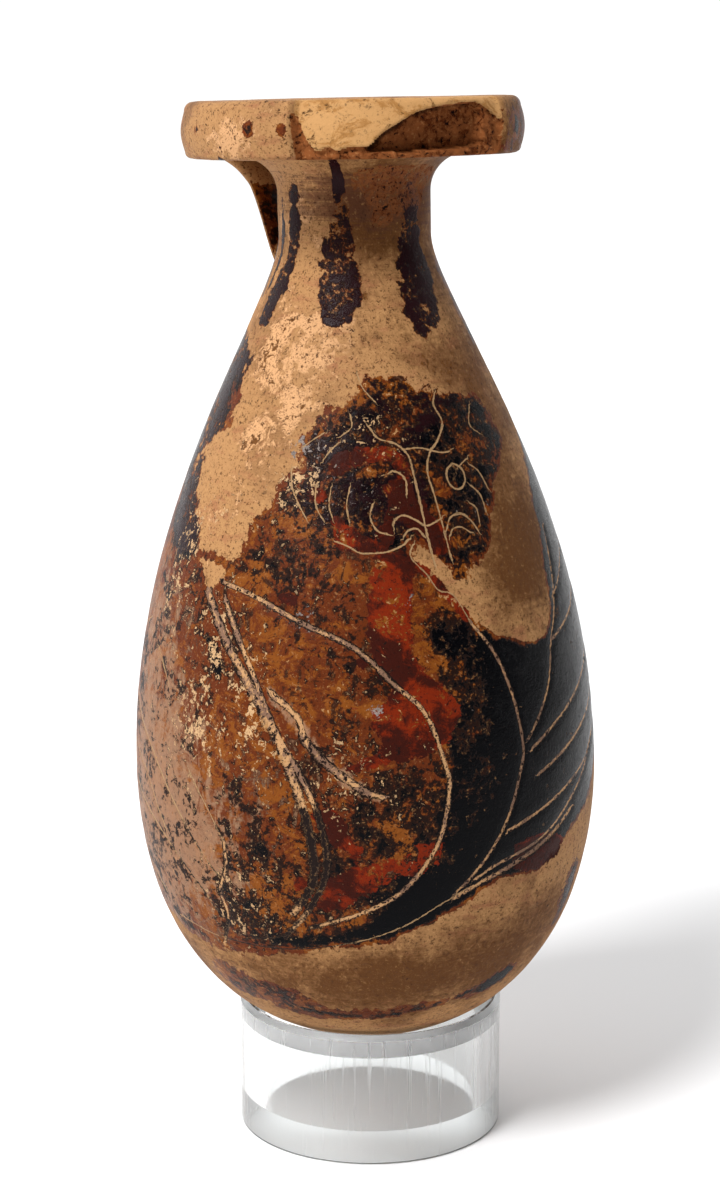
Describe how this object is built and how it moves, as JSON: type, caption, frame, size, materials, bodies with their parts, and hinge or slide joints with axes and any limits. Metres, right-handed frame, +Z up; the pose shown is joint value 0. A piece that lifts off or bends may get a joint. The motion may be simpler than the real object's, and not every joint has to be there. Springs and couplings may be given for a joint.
{
  "type": "aryballos",
  "caption": "Greek painted clay perfume flask of alabastron shape, with disc mouth, strap handle and round base, resting in a clear acrylic ring.",
  "frame": {"origin": "on the table, in the middle of the ring's foot", "axes": "+Z up along the ring's axis; -Y is the side that the picture shows; +X is the picture's right"},
  "size_m": [0.0876, 0.0876, 0.197],
  "materials": {
    "fired_clay": "buff fired clay with worn, burnished dark slip",
    "clear_acrylic": "clear, polished outside, with softly frosted bevels"
  },
  "bodies": {
    "root": {"flask": "fired_clay", "acrylic_ring": "clear_acrylic"}
  },
  "joints": []
}
